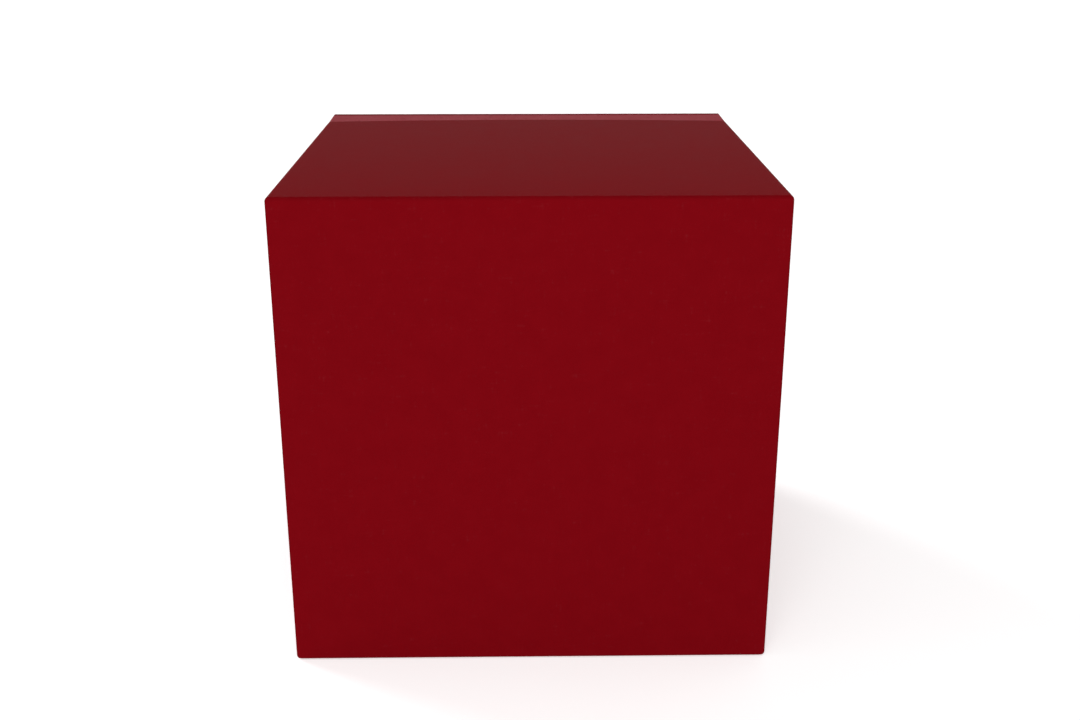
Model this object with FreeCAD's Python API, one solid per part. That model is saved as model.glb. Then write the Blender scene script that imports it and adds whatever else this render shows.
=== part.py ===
import FreeCAD, Part
import os

from FreeCAD import Vector

# A cue chalk cube lying on one of its labelled sides. The base label faces -Y, the dished
# face that the cue tip is turned in faces +Y, and the origin is the middle of the footprint,
# on the surface that the cube lies on. The side label lies in a relief one paper deep, so it
# is flush with the bare chalk beside the dished face. All sizes are in millimetres.

# Driving dimensions
CUBE_SIZE = 22.2            # seven eighths of an inch, measured over the labels
PAPER = 0.10                # thickness of the label paper
FOLD_RADIUS = 0.20          # outside radius where the paper turns an edge of the block
BARE_RIM = 2.25             # bare chalk between the side label and the dished face
DISH_MOUTH_RADIUS = 7.2     # the dish where it breaks through the face
DISH_DEPTH = 3.4            # the dish at its middle
DISH_LIP_RADIUS = 0.4       # rounding where the dish meets the face
FACE_EDGE_RADIUS = 0.15     # rounding of the bare chalk round the dished face
LAP_LENGTH = 3.0            # how far the side label's tab laps over its own start
LAP_MARGIN = 0.7            # how much narrower than the label the tab is, on each side
LAP_CORNER_RADIUS = 0.6     # corners of the tab's free end
LAP_START_HEIGHT = 15.8     # where the label's two ends meet on the -X side
RIM_RADIUS = 0.08           # softened front rim of the base label

# Derived places
HALF = CUBE_SIZE / 2
RELIEF_HALF = HALF - PAPER  # the block where its sides are set in by one thickness of paper
BASE_Y = -HALF              # outer surface of the base label
BLOCK_BASE_Y = BASE_Y + PAPER
FACE_Y = HALF               # the dished face
LABEL_END_Y = FACE_Y - BARE_RIM
CENTRE_Z = HALF

# Helpers for picking edges
ALONG_X = Vector(1, 0, 0)
ALONG_Y = Vector(0, 1, 0)
TOUCH = 1e-6                # closer than this counts as the same place


def runs_along(edge, direction):
    """Whether an edge is straight and parallel to a direction."""
    span = edge.Vertexes[-1].Point - edge.Vertexes[0].Point
    return span.Length > TOUCH and abs(span.dot(direction)) > span.Length - TOUCH


def lies_at_y(edge, y):
    """Whether an edge lies wholly in the plane at this y."""
    box = edge.BoundBox
    return abs(box.YMin - y) < TOUCH and abs(box.YMax - y) < TOUCH


def square_prism(half, corner_radius, y_start, y_end):
    """A square bar along Y, centred on the cube, with its four long edges rounded."""
    corner = Vector(-half, y_start, CENTRE_Z - half)
    bar = Part.makeBox(2 * half, y_end - y_start, 2 * half, corner)
    return bar.makeFillet(corner_radius, [e for e in bar.Edges if runs_along(e, ALONG_Y)])


def make_bare_rim():
    """The full-width end of the block, flush with the side label and crisp round its face."""
    rim = square_prism(HALF, FOLD_RADIUS, LABEL_END_Y, FACE_Y)
    return rim.makeFillet(FACE_EDGE_RADIUS, [e for e in rim.Edges if lies_at_y(e, FACE_Y)])


def make_chalk_block():
    """The pressed chalk, with a spherical dish in its bare +Y face and relieved for the label."""
    inner_radius = FOLD_RADIUS - PAPER
    labelled = square_prism(RELIEF_HALF, inner_radius, BLOCK_BASE_Y, LABEL_END_Y)
    block = labelled.fuse(make_bare_rim()).removeSplitter()

    sphere_radius = (DISH_MOUTH_RADIUS**2 + DISH_DEPTH**2) / (2 * DISH_DEPTH)
    sphere_centre = Vector(0, FACE_Y + sphere_radius - DISH_DEPTH, CENTRE_Z)
    block = block.cut(Part.makeSphere(sphere_radius, sphere_centre))
    lip = [e for e in block.Edges if e.isClosed() and lies_at_y(e, FACE_Y)]
    return block.makeFillet(DISH_LIP_RADIUS, lip)


def make_lap_tab():
    """The tab that closes the side label: one more layer of paper on the -X side."""
    y_start = BLOCK_BASE_Y + LAP_MARGIN
    y_end = LABEL_END_Y - LAP_MARGIN
    corner = Vector(-HALF - PAPER, y_start, LAP_START_HEIGHT)
    tab = Part.makeBox(PAPER, y_end - y_start, LAP_LENGTH, corner)
    free_end = LAP_START_HEIGHT + LAP_LENGTH
    corners = [e for e in tab.Edges if runs_along(e, ALONG_X) and e.BoundBox.ZMin > free_end - TOUCH]
    return tab.makeFillet(LAP_CORNER_RADIUS, corners)


def make_side_label():
    """The paper strip glued round the four sides, open at both ends, with its lapped tab."""
    outside = square_prism(HALF, FOLD_RADIUS, BLOCK_BASE_Y, LABEL_END_Y)
    inside = square_prism(RELIEF_HALF, FOLD_RADIUS - PAPER, BLOCK_BASE_Y, LABEL_END_Y)
    return outside.cut(inside).fuse(make_lap_tab()).removeSplitter()


def make_base_label():
    """The square of paper glued over the base, flush with the outside of the side label."""
    label = square_prism(HALF, FOLD_RADIUS, BASE_Y, BLOCK_BASE_Y)
    return label.makeFillet(RIM_RADIUS, [e for e in label.Edges if lies_at_y(e, BASE_Y)])


def only_solid(shape, name):
    """The one valid closed solid in a shape."""
    if len(shape.Solids) != 1 or not shape.Solids[0].isValid():
        raise ValueError(name + " is not one valid solid")
    return shape.Solids[0]


PARTS = {
    "chalk_block": make_chalk_block,
    "side_label": make_side_label,
    "base_label": make_base_label,
}

os.makedirs("parts", exist_ok=True)
for name, make in PARTS.items():
    solid = only_solid(make(), name)
    solid.exportStep("parts/" + name + ".step")
    print(name, "volume", round(solid.Volume, 3), "mm3,", len(solid.Faces), "faces")
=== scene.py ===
import math

import bpy
import numpy as np
from mathutils import Matrix, Vector, noise


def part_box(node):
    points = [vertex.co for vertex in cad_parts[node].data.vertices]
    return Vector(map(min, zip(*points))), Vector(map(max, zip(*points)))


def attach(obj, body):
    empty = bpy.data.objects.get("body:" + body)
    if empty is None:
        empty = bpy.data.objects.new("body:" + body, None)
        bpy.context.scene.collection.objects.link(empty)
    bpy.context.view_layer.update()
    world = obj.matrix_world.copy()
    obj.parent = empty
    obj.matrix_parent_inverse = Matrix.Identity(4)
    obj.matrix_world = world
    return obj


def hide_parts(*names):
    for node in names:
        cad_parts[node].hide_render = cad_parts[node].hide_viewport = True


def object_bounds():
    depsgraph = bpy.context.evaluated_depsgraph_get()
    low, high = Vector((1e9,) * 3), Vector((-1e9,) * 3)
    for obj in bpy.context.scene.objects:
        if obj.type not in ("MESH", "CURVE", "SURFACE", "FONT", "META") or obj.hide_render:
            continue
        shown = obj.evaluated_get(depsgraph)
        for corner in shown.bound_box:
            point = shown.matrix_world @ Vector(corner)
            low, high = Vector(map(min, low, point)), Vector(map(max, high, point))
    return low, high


# A cue chalk cube in three pieces: the pressed chalk, the paper strip round its four sides and the
# paper square over its base. The dished face looks towards +Y and the base label towards -Y.

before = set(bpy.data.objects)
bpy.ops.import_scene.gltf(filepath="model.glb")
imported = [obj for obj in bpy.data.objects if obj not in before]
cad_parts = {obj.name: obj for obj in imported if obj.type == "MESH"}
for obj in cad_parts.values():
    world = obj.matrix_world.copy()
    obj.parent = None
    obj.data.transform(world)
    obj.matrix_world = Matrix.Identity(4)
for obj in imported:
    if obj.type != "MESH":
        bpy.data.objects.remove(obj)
cad_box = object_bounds()

# ---------------------------------------------------------------- sizes, in metres

MM = 0.001

base_low, base_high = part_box("base_label")
side_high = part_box("side_label")[1]
block_low, block_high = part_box("chalk_block")

CUBE = base_high.x - base_low.x             # over the labels
HALF = CUBE / 2
CENTRE_Z = (base_low.z + base_high.z) / 2
PAPER = base_high.y - base_low.y
BASE_Y = base_low.y                         # outside of the base label
BLOCK_BASE_Y = block_low.y
FACE_Y = block_high.y                       # the dished face
LABEL_END_Y = side_high.y                   # where the side label stops short of it
RELIEF_HALF = HALF - PAPER                  # the block under the side label

FOLD_RADIUS = 0.2 * MM                      # outside radius where paper turns an edge
INNER_RADIUS = FOLD_RADIUS - PAPER          # the block's four corners under the label
FACE_EDGE_RADIUS = 0.15 * MM                # rounding of the bare chalk round the dished face
END_BOW = 0.5 * MM                          # how much further the label stops short at the folds
BOW_REACH = 4.0 * MM                        # how far along the label its end's bow is felt
DISH_MOUTH_RADIUS = 7.2 * MM                # the dish where it breaks through the face
DISH_DEPTH = 3.4 * MM
LIP_RADIUS = 0.4 * MM                       # rounding where the dish meets the face
LAP_START_Z = 15.8 * MM                     # where the side label's ends meet, on the -X side
LAP_LENGTH = 3.0 * MM                       # how far its tab laps over its own start
LAP_MARGIN = 0.7 * MM                       # how much narrower than the label the tab is, each side
LAP_CORNER_RADIUS = 0.6 * MM                # corners of the tab's free end


def smooth(value, start, end):
    """0 before start, 1 after end, and a smooth step between them."""
    t = np.clip((value - start) / (end - start), 0, 1)
    return t * t * (3 - 2 * t)


# ---------------------------------------------------------------- rounded squares

CORNER_CROWDING = 0.32                      # how much closer a ring's points lie at its corners


def ring_side(v, half, radius):
    """(out, along) on one side of a rounded square, for v from -1 to 1, corner to corner.

    The cubic in v spreads the points out in the middle and crowds them at the corners.
    """
    flat = half - radius
    length = flat + radius * math.pi / 4
    s = ((1 + CORNER_CROWDING) * v - CORNER_CROWDING * v**3) * length
    turn = np.maximum(np.abs(s) - flat, 0) / np.maximum(radius, 1e-9)
    out = flat + radius * np.cos(turn)
    along = np.sign(s) * (np.minimum(np.abs(s), flat) + radius * np.sin(turn))
    return out, along


def ring_points(count):
    """The (i, j) steps round a square of that many steps to a side's half, anticlockwise."""
    steps = [(count, j) for j in range(-count, count)]
    steps += [(-i, count) for i in range(-count, count)]
    steps += [(-count, -j) for j in range(-count, count)]
    return steps + [(i, -count) for i in range(-count, count)]


def place_steps(i, j, half, radius):
    """(x, z from the cube's axis) of grid steps, each on the rounded square of its own size."""
    m = np.maximum(np.maximum(np.abs(i), np.abs(j)), 1)
    on_x = np.abs(i) >= np.abs(j)
    v = np.where(on_x, j, i) / m
    out, along = ring_side(v, half, radius)
    x = np.where(on_x, np.sign(i) * out, along)
    z = np.where(on_x, along, np.sign(j) * out)
    return x, z


def disc_grid(count, profile):
    """Vertices and faces of a square grid whose rings follow profile, from its middle out.

    profile gives (half, corner radius, y) for each ring. The faces look towards +Y.
    """
    axis = np.arange(-count, count + 1)
    i, j = np.meshgrid(axis, axis, indexing="ij")
    ring = np.maximum(np.abs(i), np.abs(j))
    half, radius, y = np.array(profile).T
    x, z = place_steps(i, j, half[ring], radius[ring])
    verts = np.stack([x, y[ring], CENTRE_Z + z], axis=-1).reshape(-1, 3)
    width = 2 * count + 1
    faces = []
    for a in range(2 * count):
        for b in range(2 * count):
            k = a * width + b
            faces.append((k, k + 1, k + width + 1, k + width))
    edge = [(p + count) * width + q + count for p, q in ring_points(count)]
    return verts, faces, edge


def add_rows(verts, faces, edge, count, rows, towards_base):
    """Adds rings, each (half, corner radius, y), to a grid's open edge.

    towards_base says whether they run towards -Y, which decides which way their faces look.
    Returns the vertices, the faces and the last ring.
    """
    steps = np.array(ring_points(count))
    total = len(steps)
    for half, radius, y in rows:
        x, z = place_steps(steps[:, 0], steps[:, 1], half, radius)
        start = len(verts)
        verts = np.vstack([verts, np.stack([x, np.full(total, y), CENTRE_Z + z], axis=-1)])
        for k in range(total):
            n = (k + 1) % total
            quad = (edge[k], edge[n], start + n, start + k)
            faces.append(quad if towards_base else quad[::-1])
        edge = list(range(start, start + total))
    return verts, faces, edge


def new_mesh(name, verts, faces):
    """An object with that mesh, shaded smooth."""
    mesh = bpy.data.meshes.new(name)
    mesh.from_pydata([tuple(v) for v in verts], [], faces)
    mesh.update()
    mesh.shade_smooth()
    piece = bpy.data.objects.new(name, mesh)
    bpy.context.scene.collection.objects.link(piece)
    return piece


def vertex_normals(mesh):
    """The mesh's vertex normals as an array."""
    normals = np.empty(len(mesh.vertices) * 3, np.float32)
    mesh.vertex_normals.foreach_get("vector", normals)
    return normals.reshape(-1, 3).astype(float)


def positions(mesh):
    """The mesh's vertices as an array."""
    co = np.empty(len(mesh.vertices) * 3, np.float32)
    mesh.vertices.foreach_get("co", co)
    return co.reshape(-1, 3).astype(float)


def set_positions(mesh, co):
    """Moves the mesh's vertices."""
    mesh.vertices.foreach_set("co", co.astype(np.float32).ravel())
    mesh.update()


# ---------------------------------------------------------------- the pressed chalk

FACE_RINGS = 110                            # steps from the dish's middle to the face's edge
DISH_RINGS = 76                             # those that lie in the dish and on its lip
SQUARING = 1.6                              # how soon the rings round the dish turn square
EDGE_TURNS = 6                              # steps round the edge of the face
BARE_ROWS = 18                              # steps along the bare end of the sides
CRUMBLED = 0.04 * MM                        # rounding of the shoulder that the label meets
BOW_START = 0.6 * MM                        # where behind the face the shoulder's bow begins
CHIP_SEED = 11
EDGE_CHIPS = 54                             # chips along the bare end's edges
LIP_CHIPS = 26                              # chips along the dish's lip


def dish_profile():
    """(distance from the axis, y) along the dish, from its middle over the lip to the face."""
    radius = (DISH_MOUTH_RADIUS**2 + DISH_DEPTH**2) / (2 * DISH_DEPTH)
    centre_y = FACE_Y + radius - DISH_DEPTH
    # the lip's small circle touches the face from inside and the dish from outside
    lip_y = FACE_Y - LIP_RADIUS
    lip_r = math.sqrt((radius + LIP_RADIUS) ** 2 - (centre_y - lip_y) ** 2)
    meeting = math.atan2(lip_r, centre_y - lip_y)
    lip_arc = LIP_RADIUS * meeting
    dish_arc = radius * meeting
    points = []
    for s in np.linspace(0, dish_arc + lip_arc, DISH_RINGS + 1):
        if s <= dish_arc:
            a = s / radius
            points.append((radius * math.sin(a), centre_y - radius * math.cos(a)))
        else:
            a = meeting - (s - dish_arc) / LIP_RADIUS
            points.append((lip_r - LIP_RADIUS * math.sin(a), lip_y + LIP_RADIUS * math.cos(a)))
    return points


def block_face_profile():
    """(half, corner radius, y) of each ring of the dished face, from its middle out."""
    rings = [(r, r, y) for r, y in dish_profile()]
    mouth = rings[-1][0]
    flat_edge = HALF - FACE_EDGE_RADIUS
    steps = FACE_RINGS - DISH_RINGS
    for k in range(1, steps + 1):
        t = k / steps
        half = mouth + (flat_edge - mouth) * t
        rounding = mouth + (INNER_RADIUS - mouth) * (1 - (1 - t) ** SQUARING)
        rings.append((half, rounding, FACE_Y))
    return rings


def block_side_rows():
    """(half, corner radius, y) of each ring from the face's edge back to the base."""
    rows = []
    for k in range(1, EDGE_TURNS + 1):
        a = k / EDGE_TURNS * math.pi / 2
        half = HALF - FACE_EDGE_RADIUS * (1 - math.sin(a))
        rows.append((half, INNER_RADIUS, FACE_Y - FACE_EDGE_RADIUS * (1 - math.cos(a))))
    start_y = rows[-1][2]
    for k in range(1, BARE_ROWS + 1):
        t = k / BARE_ROWS
        y = start_y + (LABEL_END_Y + CRUMBLED - start_y) * t
        rows.append((HALF, INNER_RADIUS + (FOLD_RADIUS - INNER_RADIUS) * t, y))
    # the crumbled shoulder, then the relief under the label, down to the base
    rows.append((HALF - 0.3 * CRUMBLED, FOLD_RADIUS, LABEL_END_Y + 0.3 * CRUMBLED))
    rows.append((HALF - CRUMBLED, FOLD_RADIUS, LABEL_END_Y))
    rows.append((RELIEF_HALF, INNER_RADIUS, LABEL_END_Y - 0.01 * MM))
    rows.append((RELIEF_HALF, INNER_RADIUS, BLOCK_BASE_Y + 0.1 * MM))
    rows.append((RELIEF_HALF, INNER_RADIUS, BLOCK_BASE_Y))
    return rows


def close_with_fan(verts, faces, edge):
    """Closes the block's hidden base with one vertex in its middle."""
    middle = len(verts)
    verts = np.vstack([verts, [[0, BLOCK_BASE_Y, CENTRE_Z]]])
    for k in range(len(edge)):
        faces.append((edge[k], edge[(k + 1) % len(edge)], middle))
    return verts, faces


def pit_depth(point, cell, share, radius):
    """Depth from 0 to 1 of the round pits in a share of the cells of a jittered lattice."""
    distances, centres = noise.voronoi(point / cell)
    # each cell's own random numbers, drawn from its centre
    if noise.cell(centres[0] * 7.31) > share:
        return 0.0
    size = radius * (0.6 + 0.8 * noise.cell(centres[0] * 3.17))
    t = distances[0] * cell / size
    return max(0.0, 1 - t * t) ** 1.5


def end_bow(x, z):
    """How far the label's end is drawn back from its middle, most at the cube's four folds."""
    along = np.minimum(np.abs(x), np.abs(z - CENTRE_Z))
    return END_BOW * (along / HALF) ** 2


def bow_shoulder(co):
    """Draws the block's shoulder back with the end of the label that lies against it."""
    start_y = FACE_Y - BOW_START
    share = np.clip((start_y - co[:, 1]) / (start_y - LABEL_END_Y), 0, 1)
    share[co[:, 1] < LABEL_END_Y - 0.05 * MM] = 0
    co[:, 1] -= share * end_bow(co[:, 0], co[:, 2])


def grain_depth(p):
    """How far the pressed surface lies below its die-flat place: grain, swells, pores, rings."""
    point = Vector(p)
    across = math.hypot(p[0], p[2] - CENTRE_Z)
    in_dish = across < DISH_MOUTH_RADIUS
    # fine grain over slow swells
    sink = 0.006 * MM * (1 + noise.fractal(point / (0.22 * MM), 1.0, 2.0, 3))
    sink += 0.008 * MM * (1 + noise.noise(point / (1.7 * MM)))
    # pores of two sizes, shallower in the dish, which also has faint rings from its turned die
    wide = pit_depth(point, 1.1 * MM, 0.22, 0.15 * MM)
    small = pit_depth(point + Vector((0.3, 0.1, 0.7)), 0.45 * MM, 0.30, 0.09 * MM)
    sink += (0.5 if in_dish else 1.0) * (0.045 * wide + 0.025 * small) * MM
    if in_dish:
        sink += 0.004 * MM * (1 + math.sin(across / (0.31 * MM) * 2 * math.pi))
    return sink


def scoop(co, edge_point, outward, size, depth):
    """Breaks a shell-shaped chip out of an edge: a ball of that size, sunk to that depth."""
    outward = outward / np.linalg.norm(outward)
    centre = edge_point + outward * (size - depth)
    near = np.nonzero(np.linalg.norm(co - centre, axis=1) < 1.3 * size)[0]
    for k in near:
        q = co[k] - centre
        along = q @ outward
        aside = np.linalg.norm(q - along * outward)
        ragged = size * (1 + 0.10 * noise.noise(Vector(co[k]) / (0.23 * MM)))
        if aside >= ragged:
            continue
        floor_at = -math.sqrt(ragged**2 - aside**2)
        if along > floor_at:
            co[k] += outward * (floor_at - along)


def chip_edges(co):
    """Chips round the bare end, which is sound along the side that lies uppermost."""
    rng = np.random.default_rng(CHIP_SEED)
    sides = [np.array([1.0, 0, 0]), np.array([0, 0, -1.0]), np.array([-1.0, 0, 0])]
    for number in range(EDGE_CHIPS):
        side = sides[number % len(sides)]
        along = np.array([side[2], 0, side[0]])
        low = -0.97 * HALF
        high = 0.97 * HALF if side[2] else 0.80 * HALF      # clear of the side that lies uppermost
        place = rng.uniform(low, high)
        size = rng.uniform(0.22, 0.50) * MM
        depth = rng.uniform(0.05, 0.14) * MM
        if rng.random() < 0.2:                              # one in five is a bigger one
            size, depth = 1.7 * size, 2.2 * depth
        tilt = rng.uniform(-0.5, 0.5, 2)
        centre = np.array([0, 0, CENTRE_Z])
        at_x = abs(side[2]) * place
        at_z = abs(side[0]) * place
        edge_point = centre + side * HALF + np.array([at_x, FACE_Y, at_z])
        outward = side * (1 + tilt[0]) + np.array([0, 1, 0]) + along * tilt[1]
        scoop(co, edge_point, outward, size, depth)
    for number in range(LIP_CHIPS):
        a = rng.uniform(0, 2 * math.pi)
        radial = np.array([math.cos(a), 0, math.sin(a)])
        edge_point = radial * (DISH_MOUTH_RADIUS + 0.1 * MM) + np.array([0, FACE_Y, CENTRE_Z])
        outward = np.array([0, 1, 0]) - radial * rng.uniform(0.2, 0.8)
        scoop(co, edge_point, outward, rng.uniform(0.25, 0.6) * MM, rng.uniform(0.04, 0.10) * MM)


def weather_block(mesh):
    """Gives the bare chalk its bowed shoulder, its grain and its chips."""
    co = positions(mesh)
    bow_shoulder(co)
    set_positions(mesh, co)
    normals = vertex_normals(mesh)
    top_side = smooth(co[:, 2], 2 * CENTRE_Z - 0.5 * MM, 2 * CENTRE_Z - 0.1 * MM)
    for k in np.nonzero(co[:, 1] > LABEL_END_Y - END_BOW)[0]:
        co[k] -= normals[k] * grain_depth(co[k]) * (1 - 0.6 * top_side[k])
    chip_edges(co)
    set_positions(mesh, co)


def make_chalk_block():
    """The pressed block, bare on its dished face and for the last stretch of its sides."""
    verts, faces, edge = disc_grid(FACE_RINGS, block_face_profile())
    verts, faces, edge = add_rows(verts, faces, edge, FACE_RINGS, block_side_rows(), True)
    verts, faces = close_with_fan(verts, faces, edge)
    piece = new_mesh("pressed_chalk_block", verts, faces)
    weather_block(piece.data)
    return piece


# ---------------------------------------------------------------- the paper labels

RIPPLE = 0.005 * MM                         # how far the paper's ripples stand either way
BASE_RINGS = 40                             # steps from the base label's middle to its edge
BASE_RIM_TURNS = 6                          # those that lie on its rounded rim
BASE_BACK_RINGS = 8                         # steps across its back
BASE_INNER_CORNER = 0.05 * MM               # corner radius of the rings inside the rim


def sheet_mesh(name, cells, outer, inner):
    """A closed sheet of paper. cells are quads of keys, and outer and inner give each key's point.

    Faces of the cut edge get the second material.
    """
    keys = sorted({key for cell in cells for key in cell})
    index = {key: k for k, key in enumerate(keys)}
    total = len(keys)
    verts = [outer[key] for key in keys] + [inner[key] for key in keys]
    faces, walls = [], []
    used = {}                               # a dict, which keeps the edges in order
    for cell in cells:
        a = [index[key] for key in cell]
        faces.append(tuple(a))
        faces.append(tuple(k + total for k in reversed(a)))
        for p, q in zip(a, a[1:] + a[:1]):
            used[(p, q)] = True
    for p, q in used:
        if (q, p) not in used:
            walls.append((q, p, p + total, q + total))
    piece = new_mesh(name, verts, faces + walls)
    for face in piece.data.polygons[len(faces):]:
        face.material_index = 1
        face.use_smooth = False
    return piece


def strip_path():
    """Points along the side label, from its start under the tab round to its end.

    Each is (distance, x, z from the axis, normal x, normal z) on the outside of the cube.
    """
    flat = HALF - FOLD_RADIUS
    fold = FOLD_RADIUS * math.pi / 2
    start_up = LAP_START_Z - CENTRE_Z
    # the first stretch runs up the -X side, then over +Z, down +X, along -Z and up -X again
    runs = [((-1, 0), (0, 1), start_up, flat), ((0, 1), (1, 0), -flat, flat)]
    runs += [((1, 0), (0, -1), -flat, flat), ((0, -1), (-1, 0), -flat, flat)]
    runs += [((-1, 0), (0, 1), -flat, start_up)]
    step, turns = 0.36 * MM, 10
    points, distance = [], 0.0
    for number, (normal, along, first, last) in enumerate(runs):
        count = max(2, round((last - first) / step))
        for k in range(count + 1):
            s = first + (last - first) * k / count
            x = normal[0] * HALF + along[0] * s
            z = normal[1] * HALF + along[1] * s
            points.append((distance + s - first, x, z, *normal))
        distance += last - first
        if number == len(runs) - 1:
            break
        for k in range(1, turns):
            a = math.pi / 2 * k / turns
            nx = normal[0] * math.cos(a) + along[0] * math.sin(a)
            nz = normal[1] * math.cos(a) + along[1] * math.sin(a)
            x = (normal[0] + along[0]) * flat + nx * FOLD_RADIUS
            z = (normal[1] + along[1]) * flat + nz * FOLD_RADIUS
            points.append((distance + fold * k / turns, x, z, nx, nz))
        distance += fold
    return points


def strip_rows():
    """The y of each row of the side label's grid, and which rows are the tab's first and last."""
    first, last = BLOCK_BASE_Y + LAP_MARGIN, LABEL_END_Y - LAP_MARGIN
    front = list(BLOCK_BASE_Y + LAP_MARGIN * np.array([0, 0.07, 0.14, 0.28, 0.5, 0.75]))
    middle = list(np.linspace(first, last, 54))
    back = list(LABEL_END_Y - LAP_MARGIN * np.array([0.75, 0.5, 0.3, 0.15, 0.05, 0]))
    return front + middle + back, len(front), len(front) + len(middle) - 1


def paper_ripple(point, normal, size):
    """How far the paper stands in from its flat place, from 0 to twice the size."""
    slow = noise.noise(point / (5.5 * MM) + Vector((3, 1, 4)))
    fine = noise.noise(point / (1.3 * MM) + Vector((1, 5, 9)))
    on_flat = max(abs(normal.x), abs(normal.z)) ** 8
    return size * (1 + 0.75 * slow + 0.25 * fine) * on_flat


def burnished(y):
    """How far the labels' outside is rounded in at the base's edges."""
    centre = BASE_Y + FOLD_RADIUS
    if y >= centre:
        return 0.0
    return FOLD_RADIUS - math.sqrt(max(0.0, FOLD_RADIUS**2 - (centre - y) ** 2))


def make_side_label():
    """The strip of paper round the four sides: one sheet whose tab laps over its own start."""
    path = strip_path()
    rows, tab_first, tab_last = strip_rows()
    total = path[-1][0]
    ramp = 0.4 * MM                         # where the paper climbs on to its own start
    seam_gap = 0.04 * MM
    tab_steps = 12
    outer, inner, cells = {}, {}, []

    def put(key, x, z, normal, y, lift, inset):
        """One point of the sheet, lift outwards and inset from the edge beyond its end."""
        n = Vector((normal[0], 0, normal[1]))
        place = Vector((x, y, CENTRE_Z + z))
        sink = paper_ripple(place, n, RIPPLE) + burnished(y)
        outer[key] = place + n * (lift - sink)
        # the paper keeps its thickness, and it is a little thinner where it is pressed
        inner[key] = place + n * (lift - PAPER * 0.98 - min(sink, 0.01 * MM))
        outer[key].y -= inset
        inner[key].y -= inset

    def drawn_back(x, z, y):
        """How far the label's bowed and slightly uneven end draws a point back."""
        wander = noise.noise(Vector((x, 0, z)) / (4.5 * MM))
        wander += 0.3 * noise.noise(Vector((x, 0, z)) / (0.8 * MM))
        rubbed = smooth(min(abs(x), abs(z)), HALF - 1.6 * MM, HALF - 0.2 * MM)
        fray = rubbed * abs(noise.noise(Vector((x, 0, z)) / (0.35 * MM)))
        gap = (0.035 + 0.025 * wander + 0.12 * fray) * MM
        opened = gap * smooth(y, LABEL_END_Y - 0.5 * MM, LABEL_END_Y)
        reach = np.clip((y - LABEL_END_Y + BOW_REACH) / BOW_REACH, 0, 1)
        return float(opened + end_bow(x, z + CENTRE_Z) * reach)

    for i, (distance, x, z, nx, nz) in enumerate(path):
        climb = float(smooth(distance, total - ramp, total))
        for j, y in enumerate(rows):
            from_margin = min(y - rows[tab_first], rows[tab_last] - y)
            inside = float(smooth(from_margin, -0.15 * MM, 0.25 * MM))
            lift = PAPER * climb * inside if i > len(path) // 2 else 0.0
            put((i, j), x, z, (nx, nz), y, lift, drawn_back(x, z, y))
    last = len(path) - 1
    for i in range(last):
        for j in range(len(rows) - 1):
            cells.append(((i, j), (i + 1, j), (i + 1, j + 1), (i, j + 1)))
    # pull the seam's two ends a little apart
    for j in range(len(rows)):
        for points in (outer, inner):
            points[(0, j)].z += seam_gap / 2
            if not tab_first <= j <= tab_last:
                points[(last, j)].z -= seam_gap / 2

    side_x, side_z = path[last][1], path[last][2]
    for k in range(1, tab_steps + 1):
        for j in range(tab_first, tab_last + 1):
            y = rows[j]
            into_corner = LAP_CORNER_RADIUS - min(y - rows[tab_first], rows[tab_last] - y)
            cut = 0.0
            if into_corner > 0:
                cut = LAP_CORNER_RADIUS - math.sqrt(max(0.0, LAP_CORNER_RADIUS**2 - into_corner**2))
            up = (LAP_LENGTH - cut) * k / tab_steps
            z = side_z + up
            put((last + k, j), side_x, z, (-1, 0), y, PAPER, drawn_back(side_x, side_z, y))
    for k in range(tab_steps):
        for j in range(tab_first, tab_last):
            i = last + k
            cells.append(((i, j), (i + 1, j), (i + 1, j + 1), (i, j + 1)))
    return sheet_mesh("side_label_strip", cells, outer, inner)


def base_label_profile():
    """(half, corner radius, y) of each ring of the base label's outside, from its middle out."""
    front_rings = BASE_RINGS - BASE_RIM_TURNS
    profile = []
    for k in range(front_rings + 1):
        t = (k / front_rings) ** 0.93
        half = (HALF - FOLD_RADIUS) * t
        profile.append((half, min(BASE_INNER_CORNER, half), BASE_Y))
    widest = math.asin(1 - PAPER / FOLD_RADIUS)
    for k in range(1, BASE_RIM_TURNS + 1):
        a = math.pi / 2 + (widest - math.pi / 2) * k / BASE_RIM_TURNS
        half = HALF - FOLD_RADIUS + FOLD_RADIUS * math.cos(a)
        corner = BASE_INNER_CORNER + (FOLD_RADIUS - BASE_INNER_CORNER) * k / BASE_RIM_TURNS
        profile.append((half, corner, BASE_Y + FOLD_RADIUS - FOLD_RADIUS * math.sin(a)))
    return profile


def make_base_label():
    """The square of paper over the base, its rim pressed round the cube's edges."""
    profile = base_label_profile()
    verts, faces, edge = disc_grid(BASE_RINGS, profile)
    front_count = len(verts)
    faces = [face[::-1] for face in faces]
    rim_half = profile[-1][0]
    back_y = BASE_Y + PAPER
    shrink = [rim_half * (1 - k / BASE_BACK_RINGS) for k in range(1, BASE_BACK_RINGS)]
    rows = [(rim_half, FOLD_RADIUS, back_y - 0.002 * MM)]
    rows += [(half, min(FOLD_RADIUS, half), back_y) for half in shrink]
    first_wall = len(faces)
    verts, faces, edge = add_rows(verts, faces, edge, BASE_RINGS, rows, False)
    first_back = first_wall + len(edge)
    middle = len(verts)
    verts = np.vstack([verts, [[0, back_y, CENTRE_Z]]])
    for k in range(len(edge)):
        faces.append((edge[(k + 1) % len(edge)], edge[k], middle))
    for k in range(front_count):
        p = Vector(verts[k])
        flat = 1 - float(smooth(p.y, BASE_Y, BASE_Y + 0.01 * MM))
        verts[k][1] += flat * paper_ripple(p, Vector((1, 0, 0)), RIPPLE)
    piece = new_mesh("base_label_square", verts, faces)
    for face in piece.data.polygons[first_wall:first_back]:
        face.material_index = 1
    return piece


# ---------------------------------------------------------------- materials


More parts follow.
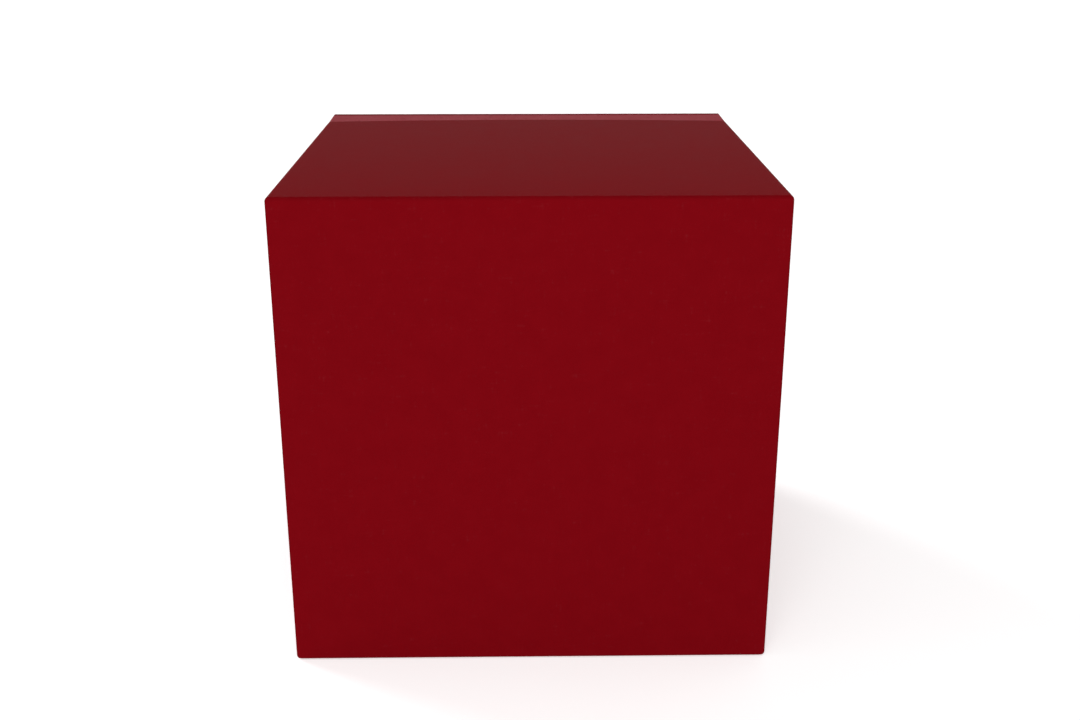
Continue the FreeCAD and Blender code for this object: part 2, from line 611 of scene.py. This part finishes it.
class Nodes:
    """A material's node tree, with short calls for the nodes that these materials use."""

    def __init__(self, name):
        self.material = bpy.data.materials.new(name)
        self.material.use_nodes = True
        self.tree = self.material.node_tree
        self.tree.nodes.clear()
        self.shader = self.tree.nodes.new("ShaderNodeBsdfPrincipled")
        end = self.tree.nodes.new("ShaderNodeOutputMaterial")
        self.tree.links.new(self.shader.outputs["BSDF"], end.inputs["Surface"])
        place = self.tree.nodes.new("ShaderNodeTexCoord")
        self.place = place.outputs["Object"]

    def link(self, value, socket):
        """Joins an output to an input, or sets the input to a constant."""
        if isinstance(value, bpy.types.NodeSocket):
            self.tree.links.new(value, socket)
        else:
            socket.default_value = value

    def stretched(self, scale):
        """The object's own coordinates, in millimetres times scale."""
        node = self.tree.nodes.new("ShaderNodeMapping")
        self.link(self.place, node.inputs["Vector"])
        node.inputs["Scale"].default_value = [s / MM for s in scale]
        return node.outputs["Vector"]

    def noise(self, per_mm, detail=3.0, roughness=0.5, stretch=(1, 1, 1), distortion=0.0):
        """Noise from 0 to 1 with that many swells to the millimetre."""
        node = self.tree.nodes.new("ShaderNodeTexNoise")
        self.link(self.stretched([per_mm * s for s in stretch]), node.inputs["Vector"])
        node.inputs["Scale"].default_value = 1.0
        node.inputs["Detail"].default_value = detail
        node.inputs["Roughness"].default_value = roughness
        node.inputs["Distortion"].default_value = distortion
        return node.outputs["Fac"]

    def cells(self, per_mm):
        """(distance from the middle, colour) of round cells, that many to the millimetre."""
        node = self.tree.nodes.new("ShaderNodeTexVoronoi")
        self.link(self.stretched((per_mm,) * 3), node.inputs["Vector"])
        node.inputs["Scale"].default_value = 1.0
        return node.outputs["Distance"], node.outputs["Color"]

    def spots(self, per_mm, rim, core, empty, full):
        """Round spots from 0 at their rim to 1 at their core, that many cells to the millimetre.

        Each cell has a random number. Below empty it has no spot, and above full a whole one.
        """
        distance, colour = self.cells(per_mm)
        return self.times(self.span(distance, rim, core), self.span(self.red_of(colour), empty, full))

    def math(self, kind, a, b=0.0):
        """a and b put together as kind says."""
        node = self.tree.nodes.new("ShaderNodeMath")
        node.operation = kind
        self.link(a, node.inputs[0])
        self.link(b, node.inputs[1])
        return node.outputs[0]

    def times(self, first, *others):
        """All of them multiplied together."""
        for other in others:
            first = self.math("MULTIPLY", first, other)
        return first

    def away_from(self, value, place):
        """How far a value is from a place, whichever side it is on."""
        return self.math("ABSOLUTE", self.math("SUBTRACT", value, place))

    def span(self, value, low, high, to_low=0.0, to_high=1.0):
        """value carried smoothly from one range to another, and held at its ends."""
        node = self.tree.nodes.new("ShaderNodeMapRange")
        node.interpolation_type = "SMOOTHSTEP"
        self.link(value, node.inputs["Value"])
        node.inputs["From Min"].default_value = low
        node.inputs["From Max"].default_value = high
        node.inputs["To Min"].default_value = to_low
        node.inputs["To Max"].default_value = to_high
        return node.outputs["Result"]

    def mix(self, share, a, b):
        """Two colours mixed, with that share of the second."""
        node = self.tree.nodes.new("ShaderNodeMix")
        node.data_type = "RGBA"
        self.link(share, node.inputs["Factor"])
        colours = [s for s in node.inputs if s.type == "RGBA"]
        self.link(a, colours[0])
        self.link(b, colours[1])
        return [s for s in node.outputs if s.type == "RGBA"][0]

    def axes(self):
        """The object's x, y and z."""
        node = self.tree.nodes.new("ShaderNodeSeparateXYZ")
        self.link(self.place, node.inputs[0])
        return node.outputs

    def red_of(self, colour):
        """A colour's first channel, as a number that differs from cell to cell."""
        node = self.tree.nodes.new("ShaderNodeSeparateColor")
        self.link(colour, node.inputs[0])
        return node.outputs[0]

    def bump(self, height, depth, strength=1.0, below=None):
        """A normal bent by a height from 0 to 1 that stands for depth in metres."""
        node = self.tree.nodes.new("ShaderNodeBump")
        node.inputs["Strength"].default_value = strength
        node.inputs["Distance"].default_value = depth
        self.link(height, node.inputs["Height"])
        if below is not None:
            self.link(below, node.inputs["Normal"])
        return node.outputs["Normal"]

    def finish(self, **sockets):
        """Sets the shader's sockets by name, and gives the material."""
        for name, value in sockets.items():
            self.link(value, self.shader.inputs[name.replace("_", " ")])
        return self.material


CHALK_RED = (0.290, 0.045, 0.055, 1)
CHALK_PALE = (0.36, 0.077, 0.088, 1)
# deeper chalk, for its darker grain and as painted shade in its pores and in the dish's bowl
CHALK_DEEP_AND_SHADE = (0.19, 0.024, 0.030, 1)
# the colour of the painted shade along the bare end's edges
CHALK_EDGE_SHADE = (0.170, 0.015, 0.020, 1)
CHALK_SPECK = (0.52, 0.22, 0.23, 1)
LABEL_RED = (0.165, 0.0020, 0.0047, 1)
LABEL_DEEP = (0.159, 0.0018, 0.0044, 1)
LABEL_CORE = (0.215, 0.020, 0.027, 1)
SWEEP_DULL = (0.93, 0.93, 0.93, 1)
SWEEP_PALE = (0.95, 0.95, 0.95, 1)

EDGE_SHADE_WIDTH = 0.80 * MM                      # the width of the painted shade along the bare end's edges
EDGE_SHADE_RAGGED = 0.30 * MM                     # how unevenly it ends
LIP_POWDER = 0.50 * MM                      # how far to each side the dish's lip is powdery
BOWL_SHADE_EDGE = 1.2 * MM                        # how far inside the lip the painted shade in the bowl is full
DUST_REACH = 3.0 * MM                       # how far along the label the chalk's dust lies


def inside_faces(n, value, centre, half):
    """How far a coordinate is inside a pair of faces, in metres."""
    return n.math("SUBTRACT", half, n.away_from(value, centre))


def grained_chalk(n, grain):
    """The chalk's own colour: slow clouds, with paler and deeper grain over them."""
    cloud = n.noise(0.5, detail=5.0, roughness=0.6)
    colour = n.mix(n.span(cloud, 0.3, 0.7, 0.0, 0.30), CHALK_RED, CHALK_PALE)
    colour = n.mix(n.span(grain, 0.50, 0.72, 0.0, 0.45), colour, CHALK_PALE)
    return n.mix(n.span(grain, 0.46, 0.28, 0.0, 0.45), colour, CHALK_DEEP_AND_SHADE)


def chalk_pores(n):
    """Pores, where a grain has come away, and finer pinholes among them."""
    pores = n.spots(2.9, rim=0.30, core=0.10, empty=0.70, full=0.95)
    pinholes = n.spots(6.3, rim=0.36, core=0.12, empty=0.60, full=0.90)
    return n.math("MAXIMUM", pores, n.times(pinholes, 0.7))


def powdery_dish_and_bowl_shade(n, colour, x, z):
    """The colour with the dish on it: its lip sheds the most powder, and its bowl is darker with
    painted shade.
    """
    up = n.math("SUBTRACT", z, CENTRE_Z)
    across = n.math("SQRT", n.math("ADD", n.times(x, x), n.times(up, up)))
    bowl = n.span(across, DISH_MOUTH_RADIUS, DISH_MOUTH_RADIUS - BOWL_SHADE_EDGE)
    # painted shade in the dish's bowl
    colour = n.mix(n.times(bowl, 0.22), colour, CHALK_DEEP_AND_SHADE)
    patches = n.span(n.noise(1.3, detail=5.0, roughness=0.7), 0.36, 0.60)
    from_lip = n.away_from(across, DISH_MOUTH_RADIUS + 0.1 * MM)
    powder = n.times(n.span(from_lip, LIP_POWDER, 0.1 * LIP_POWDER), patches)
    return n.mix(n.times(powder, 0.55), colour, CHALK_PALE)


def painted_edge_shade(n, x, y, z):
    """Share of painted shade on the sides, along the dished face's edge."""
    uneven = n.math("SUBTRACT", n.noise(2.5, detail=4.0, roughness=0.6), 0.5)
    behind = n.math("ADD", inside_faces(n, y, 0.0, FACE_Y), n.times(uneven, EDGE_SHADE_RAGGED))
    near_face = n.span(behind, EDGE_SHADE_WIDTH, 0.6 * EDGE_SHADE_WIDTH)
    inside = n.math("MINIMUM", inside_faces(n, x, 0.0, HALF), inside_faces(n, z, CENTRE_Z, HALF))
    on_side = n.span(inside, 0.16 * MM, 0.06 * MM)
    # the painted shade is whole on the side that lies uppermost, and in faint patches on the others
    upper = n.span(z, CUBE - 1.0 * MM, CUBE - 0.4 * MM)
    patches = n.span(n.noise(0.9, detail=5.0, roughness=0.65), 0.40, 0.62, 0.0, 0.5)
    return n.times(near_face, on_side, n.math("MAXIMUM", upper, patches))


def chalk_material():
    """Pressed silica chalk: matt and dusty, with pale grains, pores darkened with painted shade, and
    painted shade along the bare end's edges.
    """
    n = Nodes("pressed_red_chalk")
    x, y, z = n.axes()
    grain = n.noise(7.0, detail=4.0, roughness=0.65)
    fine = n.noise(24.0, detail=2.0, roughness=0.6)
    pores = chalk_pores(n)
    specks = n.spots(11.0, rim=0.34, core=0.20, empty=0.94, full=0.99)

    # painted shade: the chalk is darkened in its pores
    colour = n.mix(n.times(pores, 0.5), grained_chalk(n, grain), CHALK_DEEP_AND_SHADE)
    colour = powdery_dish_and_bowl_shade(n, colour, x, z)
    # painted shade along the bare end's edges, whole on the uppermost side
    colour = n.mix(painted_edge_shade(n, x, y, z), colour, CHALK_EDGE_SHADE)
    colour = n.mix(n.times(specks, 0.6), colour, CHALK_SPECK)

    pitted = n.bump(n.math("SUBTRACT", 1.0, pores), 0.05 * MM, 0.8)
    rough = n.bump(grain, 0.04 * MM, 0.9, pitted)
    normal = n.bump(fine, 0.015 * MM, 0.8, rough)
    n.shader.inputs["Specular IOR Level"].default_value = 0.02
    return n.finish(Base_Color=colour, Roughness=n.span(fine, 0.3, 0.7, 0.84, 0.98), Normal=normal)


def rubbed_folds(n, x, y, z, lower):
    """Share of wear along the folds, none on the side that lies uppermost or at the base."""
    to_fold = n.math("MAXIMUM", inside_faces(n, x, 0.0, HALF), inside_faces(n, z, CENTRE_Z, HALF))
    at_fold = n.span(to_fold, 0.32 * MM, 0.05 * MM)
    patches = n.span(n.noise(1.6, detail=4.0, roughness=0.7), 0.52, 0.66)
    behind_base = n.span(y, BASE_Y + 0.5 * MM, BASE_Y + 2.5 * MM)
    return n.times(at_fold, patches, lower, behind_base)


def chalk_dust(n, y, lower):
    """Share of chalk dust from the bare end, caught in the paper's tooth."""
    near_end = n.span(y, LABEL_END_Y - DUST_REACH, LABEL_END_Y)
    smudges = n.span(n.noise(0.8, detail=6.0, roughness=0.7), 0.40, 0.80)
    powder = n.span(n.noise(12.0, detail=3.0, roughness=0.7), 0.42, 0.66)
    return n.times(near_end, smudges, powder, lower, 0.8)


def paper_material():
    """Dyed label paper with a soft finish: fibres, a faint mottle, rubbed folds, chalk dust."""
    n = Nodes("dyed_label_paper")
    x, y, z = n.axes()
    mottle = n.noise(0.9, detail=5.0, roughness=0.6)
    fibre_across = n.noise(9.0, roughness=0.6, stretch=(0.14, 1.0, 1.0), distortion=0.4)
    fibre_along = n.noise(9.0, roughness=0.6, stretch=(1.0, 0.16, 0.16), distortion=0.4)
    fibre = n.times(n.math("ADD", fibre_across, fibre_along), 0.5)
    tooth = n.noise(26.0, detail=2.0, roughness=0.6)
    lower = n.span(z, CUBE - 0.5 * MM, CUBE - 1.5 * MM)
    dust = chalk_dust(n, y, lower)

    colour = n.mix(n.span(mottle, 0.35, 0.65), LABEL_DEEP, LABEL_RED)
    colour = n.mix(n.span(fibre, 0.56, 0.72, 0.0, 0.22), colour, LABEL_CORE)
    colour = n.mix(n.times(rubbed_folds(n, x, y, z, lower), 0.6), colour, LABEL_CORE)
    colour = n.mix(dust, colour, CHALK_PALE)

    sheen = n.times(n.math("ADD", mottle, tooth), 0.5)
    roughness = n.math("ADD", n.span(sheen, 0.35, 0.65, 0.30, 0.33), n.times(dust, 0.3))
    normal = n.bump(tooth, 0.003 * MM, 0.6, n.bump(fibre, 0.006 * MM, 0.6))
    n.shader.inputs["Specular IOR Level"].default_value = 0.0007
    return n.finish(Base_Color=colour, Roughness=roughness, Normal=normal)


def cut_paper_material():
    """The cut edge of the same paper: its dyed core, furry and a little paler."""
    n = Nodes("cut_paper_edge")
    fur = n.noise(18.0, detail=4.0, roughness=0.7)
    colour = n.mix(n.span(fur, 0.35, 0.7), LABEL_RED, LABEL_CORE)
    roughness = n.span(fur, 0.3, 0.7, 0.8, 0.95)
    n.shader.inputs["Specular IOR Level"].default_value = 0.05
    return n.finish(Base_Color=colour, Roughness=roughness, Normal=n.bump(fur, 0.02 * MM))


def floor_material():
    """Pale matt sweep paper, with a glow of its own that brings it up to white."""
    n = Nodes("pale_sweep")
    colour = n.mix(n.span(n.noise(0.02), 0.3, 0.7), SWEEP_DULL, SWEEP_PALE)
    n.shader.inputs["Specular IOR Level"].default_value = 0.0
    n.shader.inputs["Emission Color"].default_value = (1, 1, 1, 1)
    n.shader.inputs["Emission Strength"].default_value = 0.42
    return n.finish(Base_Color=colour, Roughness=0.95)


# ---------------------------------------------------------------- pieces

paper = paper_material()
cut_paper = cut_paper_material()

block = make_chalk_block()
block.data.materials.append(chalk_material())
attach(block, "root")
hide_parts("chalk_block")

side_label = make_side_label()
side_label.data.materials.append(paper)
side_label.data.materials.append(cut_paper)
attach(side_label, "root")
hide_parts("side_label")

base_label = make_base_label()
base_label.data.materials.append(paper)
base_label.data.materials.append(cut_paper)
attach(base_label, "root")
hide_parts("base_label")

# ---------------------------------------------------------------- floor, light and camera


def make_floor():
    """A wide round floor just under the cube, finer towards its middle."""
    radius, rings, spokes = 4.0, 24, 96
    clearance = 0.005 * MM
    verts, faces = [(0, 0, 0)], []
    for r in range(1, rings + 1):
        for s in range(spokes):
            a = 2 * math.pi * s / spokes
            size = radius * (r / rings) ** 2
            verts.append((size * math.cos(a), size * math.sin(a), 0))
    for s in range(spokes):
        faces.append((0, 1 + s, 1 + (s + 1) % spokes))
        for r in range(rings - 1):
            a, b = 1 + r * spokes + s, 1 + r * spokes + (s + 1) % spokes
            faces.append((a, a + spokes, b + spokes, b))
    floor = new_mesh("floor", verts, faces)
    floor.location.z = cad_box[0].z - clearance
    floor.data.materials.append(floor_material())


def towards(azimuth, elevation):
    """The direction of a place seen from the cube. Azimuth 0 is in front, on the -Y side."""
    level = math.cos(elevation)
    return Vector((math.sin(azimuth) * level, -math.cos(azimuth) * level, math.sin(elevation)))


def add_sun(name, azimuth, elevation, strength, angle):
    """A broad soft light from that direction, given in degrees as its angular size is."""
    lamp = bpy.data.lights.new(name, "SUN")
    lamp.energy = strength * math.pi        # so that a strength of 1 lights like a white world
    lamp.angle = math.radians(angle)
    light = bpy.data.objects.new(name, lamp)
    back = towards(math.radians(azimuth), math.radians(elevation))
    light.rotation_euler = (-back).to_track_quat("-Z", "Y").to_euler()
    light.location = back * 0.5
    bpy.context.scene.collection.objects.link(light)


def add_softbox(name, place, aim, size, power):
    """A square soft light at a place, turned to face another."""
    lamp = bpy.data.lights.new(name, "AREA")
    lamp.shape = "SQUARE"
    lamp.size = size
    lamp.energy = power
    light = bpy.data.objects.new(name, lamp)
    light.location = place
    light.rotation_euler = (Vector(aim) - Vector(place)).to_track_quat("-Z", "Y").to_euler()
    bpy.context.scene.collection.objects.link(light)


def set_world(around, overhead):
    """White light from all round, brighter from the horizon than from overhead."""
    fade_start, fade_end = math.radians(12), math.radians(40)
    world = bpy.data.worlds.new("soft_surround")
    world.use_nodes = True
    nodes, links = world.node_tree.nodes, world.node_tree.links
    background = nodes["Background"]
    background.inputs["Color"].default_value = (1, 1, 1, 1)
    direction = nodes.new("ShaderNodeTexCoord")
    parts = nodes.new("ShaderNodeSeparateXYZ")
    fade = nodes.new("ShaderNodeMapRange")
    fade.interpolation_type = "SMOOTHSTEP"
    fade.inputs["From Min"].default_value = math.sin(fade_start)
    fade.inputs["From Max"].default_value = math.sin(fade_end)
    fade.inputs["To Min"].default_value = around
    fade.inputs["To Max"].default_value = overhead
    links.new(direction.outputs["Generated"], parts.inputs[0])
    links.new(parts.outputs["Z"], fade.inputs["Value"])
    links.new(fade.outputs["Result"], background.inputs["Strength"])
    bpy.context.scene.world = world


def add_camera():
    """The camera: a little above the cube and almost square to its base label."""
    azimuth, elevation = math.radians(-0.884), math.radians(19.59)
    distance = 68.58 * MM
    aim = Vector((0.582, 0, 11.037)) * MM
    back = towards(azimuth, elevation)
    camera = bpy.data.objects.new("camera", bpy.data.cameras.new("camera"))
    camera.data.lens = 43.49
    camera.data.sensor_width = 36
    camera.data.clip_start = 1 * MM
    camera.data.clip_end = 20
    right = Vector((math.cos(azimuth), math.sin(azimuth), 0))
    up = back.cross(right)
    turn = Matrix((right, up, back)).transposed()
    camera.matrix_world = Matrix.Translation(aim + back * distance) @ turn.to_4x4()
    bpy.context.scene.collection.objects.link(camera)
    bpy.context.scene.camera = camera


make_floor()
set_world(around=1.0, overhead=0.35)
add_softbox("key_light", place=(0, -0.075, 0.085), aim=(0, 0, CENTRE_Z), size=0.06, power=0.034)
add_sun("front_light", azimuth=0, elevation=12, strength=0.05, angle=50)
add_sun("side_light", azimuth=-128, elevation=26, strength=0.50, angle=25)
add_camera()
bpy.context.scene.view_settings.view_transform = "Standard"
